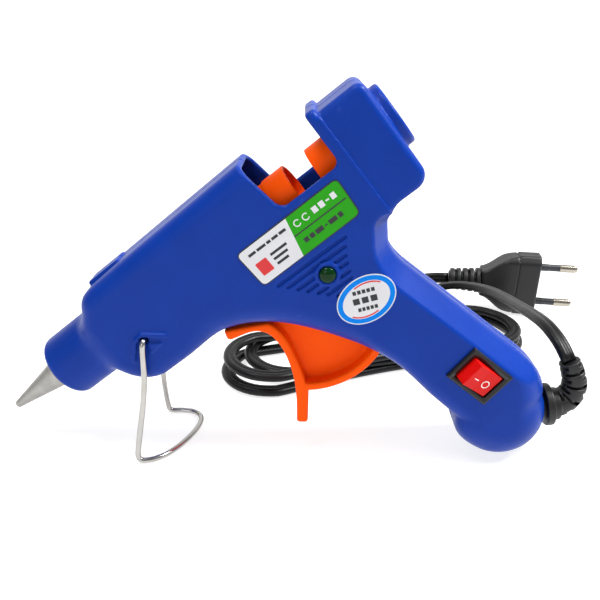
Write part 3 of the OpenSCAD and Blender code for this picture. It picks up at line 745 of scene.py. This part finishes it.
def casing_field(side):
    def field(x, y, z):
        s, n = to_barrel(x, z)
        d = poly_field(casing_outline(), x, z)
        head = step01(s, 143.75, 144.05) * step01(n, -22.6, -21.6)
        soft = step01(s, 128, 139) * step01(n, -26, -18)
        down = 0.804 * x - 0.595 * z
        half = CASING_HALF - (CASING_HALF - HEAD_HALF) * head
        belly = step01(s, 64, 80) * (1 - step01(s, 110, 120)) * step01(-n, 2, 10)
        r = 5.6 - 3.4 * soft + 7.0 * step01(down, 38, 55) + 3.8 * belly
        body = slab(d, y, half, r)
        back = [np.array([86.2, 34.6]), np.array(BACK_LOW), np.array(BACK_TOP)]
        back += bez(BACK_TOP, (36.3, 71.3), (33.1, 75), THROAT_MID, 8) + [np.array([32.8, 83.0])]
        gap = line_field(back, x, z)
        facet = (np.abs(y) - 4.4 - 1.7 * gap) / 1.97
        body = smax(body, facet, 0.9)
        rr = np.hypot(n, y)
        collar = slab(rr - 10.95, s - 36, 10.5, 1.7)
        outer = smin(body, collar, 4.0)
        outer = smin(outer, slab(rect_field(s - 61.2, n - 16.4, 6.4, 1.3, 0.4), y, 4.2, 0.4), 0.2)
        outer = smin(outer, slab(rr - 10, s - 155.2, 6.0, 0.9), 0.35)
        cavity = np.maximum(slab(d + WALL, y, half - WALL, np.maximum(r - WALL, 1)), facet + WALL)
        cavity = np.maximum(cavity, 1.5 - np.abs(s - 142.3))
        cavity = np.minimum(cavity, np.maximum(rr - 9, np.abs(s - 39) - 11.5))
        cavity = np.minimum(cavity, np.maximum(rr - 5.45, s - 30))
        cavity = np.minimum(cavity, np.maximum(rr - 7.75, np.abs(s - 146) - 6.2))
        cavity = np.minimum(cavity, np.maximum(rr - 6.6, 150 - s))
        solid = smax(outer, -cavity, 0.25)
        for p in SCREWS:
            rp = np.hypot(x - p[0], z - p[1])
            solid = np.minimum(solid, np.maximum(rp - SCREW_BOSS_R, outer + 0.3))
            if side > 0:
                solid = smax(solid, -np.maximum(rp - SCREW_HOLE_R, 5 - y), 0.35)
        lean = 0.14 * np.clip(n, 0, 18) * (s < 130)
        window = rect_field(s + lean - 130.15, n - 20.2, 10.45, 20, 2.6)
        solid = smax(solid, -window, 0.9)
        slot = poly_field([(-19, 40), (39, 28), (39, 45), (30, 51), (-19, 51)], x, z)
        solid = smax(solid, -np.maximum(slot, np.abs(y) - TRIGGER_HALF - 0.4), 0.5)
        yy = y * side
        for a, b, row in VENT_ROWS:
            cap = line_field([(a, row), (b, row)], s, n) - 0.46
            solid = smax(solid, -np.maximum(cap, CASING_HALF - 0.75 - yy), 0.15)
        rib = line_field([(-34.9, 47.2), (-42.0, 47.2), (-44.1, 45.0), (-45.0, 38.0)], x, z) - 0.62
        solid = smin(solid, np.maximum(rib, np.maximum(yy - 14.1, 12.5 - yy)), 0.35)
        wedge = poly_field([(-40.0, 44.3), (-36.2, 44.3), (-39.4, 41.0)], x, z) - 0.2
        solid = smin(solid, np.maximum(wedge, np.maximum(yy - 13.85, 12.5 - yy)), 0.3)
        hinge = np.hypot(x - STAND_PIVOT[0], z - STAND_PIVOT[1]) - 1.35
        solid = smax(solid, -np.maximum(hinge, 9 - yy), 0.2)
        gu = (x - 91.5) * math.cos(0.14) + (z - 17) * math.sin(0.14)
        gv = -(x - 91.5) * math.sin(0.14) + (z - 17) * math.cos(0.14)
        solid = smax(solid, -np.maximum(np.hypot(gv, y) - 4.5, -12 - gu), 0.3)
        if side < 0:
            rl = np.hypot(x - LED_AT[0], z - LED_AT[1])
            solid = smin(solid, slab(np.abs(rl - LAMP_RING_R) - 0.68, yy - 12.9, 0.95, 0.3), 0.2)
            solid = np.maximum(solid, -np.maximum(rl - LAMP_HOLE_R, 5 - yy))
            c, t = math.cos(SWITCH_TURN), math.sin(SWITCH_TURN)
            u = (x - SWITCH_AT[0]) * c - (z - SWITCH_AT[1]) * t
            v = (x - SWITCH_AT[0]) * t + (z - SWITCH_AT[1]) * c
            solid = np.maximum(solid, -np.maximum(rect_field(u, v, 7.6, 5.6, 0.3), 2 - yy))
        return smax(solid, 0.02 - yy, 0.12)
    return field


def make_casing():
    for name, side, node in (("casing_left", -1, "left_shell"), ("casing_right", 1, "right_shell")):
        lo = (-93, -15.4 if side < 0 else -1.0, -1.5)
        hi = (93.5, 1.0 if side < 0 else 15.4, 126)
        obj = net(name, casing_field(side), lo, hi, 0.45, BLUE, 0.5)
        finish_piece(obj, "casing", "casing_blue", node)


# ---------------------------------------------------------------- trigger and feed parts

TRIGGER_HALF, WEB_HALF, ARM_HALF = 6.4, 1.6, 2.6
RIM_R, HUB_R, PIVOT_R = 26.9, 3.6, 1.5

def finger_outline():
    return ([np.array(p) for p in [(-17.4, 45.4), (-16.4, 42.6), (-15.2, 42.2), (-10.3, 44.6)]]
            + bez((-10.3, 44.6), (-5, 47), (-1.5, 45), (2, 38.6), 10)
            + bez((2, 38.6), (5.2, 32), (6.7, 25), (6.8, 13.4), 10)
            + arc((7.7, 12.3), 0.9, 180, 270, 4) + arc((9.7, 12.3), 0.9, 270, 360, 4)
            + [np.array([10.6, 22.6])]
            + bez((10.6, 22.6), (9.4, 28), (7.4, 34), (4.6, 39.8), 8)
            + bez((4.6, 39.8), (2.6, 44.4), (-0.4, 47.6), (-3.2, 48.6), 8) + [np.array([-9, 47.4])])


def trigger_field(x, y, z):
    face = slab(poly_field(finger_outline(), x, z), y, TRIGGER_HALF, 0.9)
    rp = np.hypot(x - PIVOT[0], z - PIVOT[1])
    wedge = poly_field([PIVOT] + arc(PIVOT, 60, -88, -15, 8), x, z)
    rim = slab(np.maximum(np.abs(rp - RIM_R) - 1.4, wedge), y, TRIGGER_HALF, 0.8)
    sector = poly_field([PIVOT, (-3, 47.6), (4.4, 38), (10, 22)] + arc(PIVOT, 27.3, -84, -15, 24), x, z)
    web = slab(sector, y, WEB_HALF, 0.3)
    f = smin(smin(face, web, 0.8), smin(rim, web, 0.8), 0.3)
    f = smin(f, slab(rp - HUB_R, y, TRIGGER_HALF, 0.4), 0.5)
    tip = B(106.2, -12.2)
    f = smin(f, slab(line_field([PIVOT, tuple(tip)], x, z) - 1.4, y, ARM_HALF, 0.3), 0.4)
    f = smin(f, slab(np.hypot(x - tip[0], z - tip[1]) - 2.2, y, ARM_HALF, 0.3), 0.2)
    return smax(f, -(rp - PIVOT_R - 0.06), 0.1)


def carriage_field(x, y, z):
    s, n = to_barrel(x, z)
    r = np.hypot(n, y)
    prof = [(110, 4.0), (110, 7.7), (117, 7.7), (117.6, 8.1), (125.6, 8.1), (125.6, 7.2), (122.6, 6.9),
            (119.2, 4.0)]
    f = smax(poly_field(prof, s, r), s - 125.45, 0.25)
    for u, v, a, b in ((101, 115, -9.4, -6.9), (101, 103.75, -14.6, -8.5), (108.65, 111.2, -14.6, -8.5)):
        plate = rect_field(s - (u + v) / 2, n - (a + b) / 2, (v - u) / 2, (b - a) / 2, 0.3)
        f = smin(f, slab(plate, y, 3, 0.3), 0.3)
    lug = np.maximum(rect_field(s - 114, n, 2.5, 1.1, 0.2), np.abs(np.abs(y) - 8.9) - 1.9)
    f = smin(f, lug, 0.2)
    return np.maximum(f, 3.95 - r)


def make_feed():
    obj = net("trigger_moulding", trigger_field, (-20, -7.4, 9), (40, 7.4, 74), 0.42, ORANGE, 0.3)
    finish_piece(obj, "trigger", "feed_orange", "trigger")
    end = TRIGGER_HALF + 1
    prof = rounded([(0.01, -end), (PIVOT_R, -end), (PIVOT_R, end), (0.01, end)], 0.3)
    obj = lathe("trigger_pin_turned", prof, lambda s, a, b: (PIVOT[0] + a, s, PIVOT[1] + b), STEEL, 32)
    finish_piece(obj, "casing", "steel", "trigger_pin")
    obj = net("feed_ring", carriage_field, (-21, -11.6, 62), (13, 11.6, 102), 0.36, ORANGE, 0.3)
    finish_piece(obj, "feeder", "feed_orange", "feed_carriage")
    prof = [(4, 137), (6.9, 133.4), (7.6, 133.4), (7.6, 152), (6.45, 152), (6.45, 161), (4.9, 161), (4, 160)]
    obj = lathe("inlet_guide", rounded(prof, 0.3), on_axis, ORANGE, 96, closed=True)
    finish_piece(obj, "casing", "feed_orange", "rear_guide")


def make_nozzle():
    prof = [(0.8, 0.1), (0.95, 0.0), (1.1, 0.05), (1.28, 0.3)]
    prof += [(1.28 + 3.6 * t, 0.3 + 21.4 * t) for t in np.linspace(0.04, 1, 12)]
    prof += [(4.95, 21.9), (5.12, 22.15), (5.2, 22.5), (5.2, 24.2), (5.05, 24.35), (5.2, 24.5), (5.2, 28),
             (3.2, 28), (3.2, 35), (2.2, 35), (2.2, 24), (0.8, 5)]
    obj = lathe("nozzle_turned", prof, on_axis, ALUMINIUM, 96, closed=True)
    finish_piece(obj, "casing", "nozzle_metal", "nozzle")


WIRE_R, WIRE_LOW = 0.95, 0.97


def make_stand():
    """One bent wire: down the left side, round the foot on the table and up the right side."""
    left = [(-41.5, -10.4, 45.2), (-41.5, -13.4, 45.2), (-41.55, -14.5, 44.7), (-41.7, -14.95, 43),
            (-41.8, -15.0, 38), (-42.0, -15.0, 31), (-43.1, -15.1, 22), (-44.6, -15.2, 13),
            (-45.8, -15.3, 5.4), (-46.0, -15.3, 2.7), (-45.3, -15.3, 1.25)]
    foot = [(x, y, WIRE_LOW) for x, y in [(-43.5, -15.2), (-40.6, -14.1), (-36.8, -11.0), (-33.1, -5.4),
            (-29.9, 2.1), (-28.7, 7.8), (-29.3, 11.8), (-32.2, 14.6), (-36.6, 15.4), (-40.2, 15.3)]]
    right = [(-41.6, 15.2, 1.8), (-42.0, 15.1, 4.2), (-42.5, 15.05, 9), (-43.0, 15.0, 18.4), (-42.2, 15.0, 31),
             (-41.8, 15.0, 38), (-41.7, 14.95, 43), (-41.55, 14.5, 44.7), (-41.5, 13.4, 45.2),
             (-41.5, 10.4, 45.2)]
    obj = tube("stand_wire", smooth(left + foot + right, 0.7), circle(WIRE_R), STEEL)
    finish_piece(obj, "stand", "steel", "wire_stand")


# ---------------------------------------------------------------- switch

def from_switch(v):
    c, s = math.cos(SWITCH_TURN), math.sin(SWITCH_TURN)
    v = np.asarray(v, float)
    u, w, h = v[..., 0], v[..., 1], v[..., 2]
    return np.stack([SWITCH_AT[0] + u * c + w * s, -CASING_HALF - h, SWITCH_AT[1] - u * s + w * c], -1)


def bezel_field(u, v, h):
    e = np.minimum(8.5 - np.abs(u), 6.5 - np.abs(v))
    top = np.minimum(0.75 + 1.2 * e, 1.75 - 0.38 * e)
    f = np.maximum(-e, (h - top) * 0.85)
    f = np.maximum(f, -0.02 - h)
    box = np.maximum(rect_field(u, v, 7.4, 5.4, 0.3), np.maximum(h - 0.3, -10 - h))
    f = np.minimum(f, box)
    hole = np.maximum(rect_field(u, v, 6.5, 4.6, 0.2), -4.6 - h)
    return smax(f, -hole, 0.12)


ROCKER_PROFILE = [(-6.15, -0.4), (-6.1, 0.9), (-4.35, 4.25), (0.2, 2.5), (6.1, 0.75), (6.05, -0.6),
                  (4.8, -2.2), (-4.8, -2.2)]


def rocker_field(u, v, h):
    return slab(poly_field(ROCKER_PROFILE, u, h), v, 4.35, 0.28)


def make_switch():
    body = net("switch_housing", bezel_field, (-9, -7, -10.6), (9, 7, 2.2), 0.22, SWITCH_BLACK, 0.35,
               from_switch)
    finish_piece(body, "casing", "switch_black", "switch_body")
    rocker = net("rocker_key", rocker_field, (-7, -5, -3), (7, 5, 5), 0.2, RED, 0.35, from_switch)
    finish_piece(rocker, "rocker", "rocker_red", "switch_rocker")

    def on_top(u, v, lift=0.0):
        a, b = ROCKER_PROFILE[2:4] if u < 0.2 else ROCKER_PROFILE[3:5]
        h = a[1] + (b[1] - a[1]) * (u - a[0]) / (b[0] - a[0])
        return from_switch((u, v, h + lift))
    verts, faces = [], []

    def ribbon(line, width, closed):
        n = len(line)
        base = len(verts)
        for i in range(n):
            p = np.array(line[i - 1 if closed or i else 0])
            q = np.array(line[(i + 1) % n if closed else min(i + 1, n - 1)])
            t = (q - p) / np.linalg.norm(q - p)
            m = np.array([-t[1], t[0]]) * width / 2
            c = np.array(line[i])
            for off, lift in ((m, -0.08), (m * 0.9, 0.06), (-m * 0.9, 0.06), (-m, -0.08)):
                verts.append(on_top(*(c + off), lift))
        for i in range(n if closed else n - 1):
            a, b = base + 4 * i, base + 4 * ((i + 1) % n)
            for k in range(4):
                j = (k + 1) % 4
                faces.append((a + k, b + k, b + j, a + j))
        if not closed:
            faces.append((base, base + 1, base + 2, base + 3))
            faces.append((base + 4 * n - 1, base + 4 * n - 2, base + 4 * n - 3, base + 4 * n - 4))
    ribbon([(-2.4, -0.5), (-1.8, -0.5), (-1.2, -0.5), (-0.6, -0.5)], 0.34, False)
    ribbon([(2.75 + a, b - 0.5) for a, b in circle(1.25, 40)], 0.34, True)
    marks = make_object("rocker_marks", np.array(verts) * MM, faces, [WHITE_INK])
    fix_normals(marks)
    finish_piece(marks, "rocker", "label_film")


# ---------------------------------------------------------------- lamp, label and sticker

def make_lamp():
    def place(s, a, b):
        return (LED_AT[0] + a, -s, LED_AT[1] + b)
    prof = [(0.01, 8), (LAMP_R, 8), (LAMP_R, 13.9)]
    prof += [(LAMP_R * math.cos(t), 13.9 + 1.35 * math.sin(t)) for t in np.linspace(0.1, 1.55, 12)]
    obj = lathe("lamp_lens", prof, place, GREEN_LENS, 64)
    finish_piece(obj, "casing", "led_green", "led_lens")


def corner_round(points, radius, n=5):
    out = []
    p = [np.array(q, float) for q in points]
    for i in range(len(p)):
        a, b, c = p[i - 1], p[i], p[(i + 1) % len(p)]
        u, w = b + (a - b) / np.linalg.norm(a - b) * radius, b + (c - b) / np.linalg.norm(c - b) * radius
        for t in np.linspace(0, 1, n + 1):
            out.append((1 - t) ** 2 * u + 2 * t * (1 - t) * b + t * t * w)
    return out


def bar(x0, y0, x1, y1, t):
    a, b = np.array([x0, y0], float), np.array([x1, y1], float)
    d = (b - a) / np.linalg.norm(b - a)
    m = np.array([-d[1], d[0]]) * t / 2
    return [a + m, b + m, b - m, a - m]


FILM_T, INK_T = 0.1, 0.03


def on_side(s, n, h):
    """A point h above the left side's flat, placed along the barrel."""
    x, z = B(s, n)
    return (x, -CASING_HALF - LIFT - h, z)


def row_of_blocks(widths, start, gap, n, thick, dash=-1, dash_thick=0.0, rise=0.0):
    """A printed word as plain blocks. The block numbered dash is a thin one."""
    out = []
    for k, w in enumerate(widths):
        x = start + sum(widths[:k]) + gap * k
        out.append(bar(x, n, x + w, n + rise, dash_thick if k == dash else thick))
    return out


def decal(name, layers, place, mats):
    """Thin printed layers. Each layer is (outline, level, material index)."""
    verts, faces, index = [], [], []
    for outline, level, mat in layers:
        n = len(outline)
        base = len(verts)
        low, high = (0.0, FILM_T) if level == 0 else (FILM_T, FILM_T + INK_T * level)
        for h in (low, high):
            verts += [place(p[0], p[1], h) for p in outline]
        faces.append(tuple(base + n + k for k in range(n)))
        faces.append(tuple(base + k for k in reversed(range(n))))
        index += [mat, mat]
        for k in range(n):
            j = (k + 1) % n
            faces.append((base + k, base + j, base + n + j, base + n + k))
            index.append(mat)
    obj = make_object(name, np.array(verts) * MM, faces, mats, False, index)
    fix_normals(obj)
    return obj


def make_label():
    edge = [(100.3, -2.2), (100.7, -15.1), (137.0, -14.6), (137.6, -2.0)]
    mid_top, mid_low = np.array([118.9, -2.5]), np.array([116.1, -14.6])
    inner = [(100.65, -2.55), (101.05, -14.75), (136.65, -14.25), (137.25, -2.35)]
    white = corner_round([inner[0], inner[1], mid_low, mid_top], 1.6)[:12] + [mid_low, mid_top]
    green = [mid_top, mid_low] + corner_round([mid_top, mid_low, inner[2], inner[3]], 1.6)[12:]
    layers = [(corner_round(edge, 2.0), 0, 2), (white, 1, 0), (green, 1, 1),
              (bar(117.6, -8.4, 136.2, -8.3, 0.4), 2, 2)]
    layers += [(b, 2, 2) for b in row_of_blocks((2.6, 3.2, 1.4, 2.2, 2.4), 103.2, 0.5, -4.9, 0.85)]
    layers.append((corner_round([(103, -8), (103, -12.4), (107, -12.4), (107, -8)], 0.3, 2), 2, 3))
    for k in range(3):
        layers.append((bar(108.6, -8.4 - 1.7 * k, 114.6 - 0.9 * k, -8.4 - 1.7 * k, 0.8), 2, 2))
    for k in range(2):
        c = np.array([120.8 + 3.1 * k, -5.6])
        ring = [c + 1.15 * np.array([math.cos(a), math.sin(a)]) for a in np.linspace(0.6, 5.7, 18)]
        ring += [c + 0.8 * np.array([math.cos(a), math.sin(a)]) for a in np.linspace(5.7, 0.6, 18)]
        layers.append((ring, 2, 0))
    layers += [(b, 2, 0) for b in row_of_blocks((1.7, 1.7, 1.1, 1.6), 126.4, 0.7, -5.5, 1.9, 2, 0.5)]
    widths = (1.5, 1.5, 2.6, 0.9, 2.8, 1.4)
    layers += [(b, 2, 2) for b in row_of_blocks(widths, 119.2, 0.6, -11.2, 1.5, 3, 0.4, 0.05)]
    obj = decal("side_label_print", layers, on_side, [LABEL_WHITE, LABEL_GREEN, LABEL_DARK, LABEL_RED])
    finish_piece(obj, "casing", "label_film", "side_label")


STICKER_AT = np.array([122.4, -37.3])


def oval(a, b, t0=0, t1=360, n=72):
    turns = np.radians(np.linspace(t0, t1, n))
    return [STICKER_AT + np.array([a * math.cos(t), b * math.sin(t)]) for t in turns]


def make_sticker():
    layers = [(oval(9.7, 7.4)[:-1], 0, 0), (oval(9.35, 7.05)[:-1], 1, 1), (oval(7.8, 5.55)[:-1], 2, 0)]
    for t0 in (25, 205):
        layers.append((oval(7.6, 5.3, t0, t0 + 72, 20) + oval(7.15, 4.85, t0 + 72, t0, 20), 3, 3))
    c, s = math.cos(math.radians(-22)), math.sin(math.radians(-22))
    for row, (width, thick, parts) in enumerate(((7.2, 1.25, 5), (8.2, 2.0, 3), (6.4, 1.2, 5))):
        y = 2.9 - 2.85 * row
        for k in range(parts):
            x0 = -width / 2 + k * width / parts
            x1 = x0 + width / parts * 0.74
            a, b = (STICKER_AT + np.array([x * c - y * s, x * s + y * c]) for x in (x0, x1))
            layers.append((bar(a[0], a[1], b[0], b[1], thick), 3, 2))
    obj = decal("rating_sticker_print", layers, on_side, [LABEL_WHITE, STICKER_BLUE, LABEL_DARK, LABEL_RED])
    finish_piece(obj, "casing", "sticker_film", "rating_sticker")


# ---------------------------------------------------------------- inner parts that stay as CAD

def paint_frame():
    looks = {"shell_screws": STEEL, "front_bush": SILICONE, "heating_chamber": CAST, "ptc_heater": CERAMIC,
             "heater_film": FILM, "heater_clip": SPRING, "feed_tube": SILICONE,
             "trigger_spring": SPRING, "switch_terminals": BRASS, "led_board": BOARD, "internal_wires": WIRE,
             "cord_clamp": GREY, "clamp_screws": STEEL}
    for name, mat in looks.items():
        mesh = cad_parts[name].data
        mesh.materials.clear()
        mesh.materials.append(mat)


# ---------------------------------------------------------------- stage and light

def make_stage():
    prof = [(-1.6, 0.0), (0.9, 0.0)] + [(0.9 + 0.5 * math.sin(a), 0.5 - 0.5 * math.cos(a))
                                        for a in np.linspace(0.15, math.pi / 2, 12)] + [(1.4, 2.2)]
    verts = [(x, y, z - 0.0002) for y, z in prof for x in (-2.4, 2.4)]
    faces = [(2 * k, 2 * k + 1, 2 * k + 3, 2 * k + 2) for k in range(len(prof) - 1)]
    obj = make_object("floor", verts, faces, [FLOOR])
    world = bpy.data.worlds.new("studio")
    world.use_nodes = True
    world.node_tree.nodes["Background"].inputs["Color"].default_value = (1, 1, 1, 1)
    world.node_tree.nodes["Background"].inputs["Strength"].default_value = 0.3
    bpy.context.scene.world = world
    lights = (("key", (-0.35, -0.1, 1.1), 0.4, 7), ("fill", (-0.5, -1.1, 0.6), 0.7, 2.6),
              ("top", (0.75, 0.0, 1.0), 0.45, 24))
    for name, at, size, power in lights:
        data = bpy.data.lights.new(name, "AREA")
        data.shape = "DISK"
        data.size = size
        data.energy = power
        lamp = bpy.data.objects.new(name, data)
        lamp.location = at
        aim = Vector((0.02, 0.02, 0.05)) - Vector(at)
        lamp.rotation_euler = aim.to_track_quat("-Z", "Y").to_euler()
        bpy.context.scene.collection.objects.link(lamp)


bpy.context.scene.view_settings.view_transform = "Standard"
make_camera()
cord, cord_path, cord_length = make_cord()
plug_pieces = make_plug()
[c * MM for c in BOOT_LINE[-1]]
make_boot()
make_casing()
make_feed()
make_nozzle()
make_stand()
make_switch()
make_lamp()
make_label()
make_sticker()
paint_frame()
make_stage()
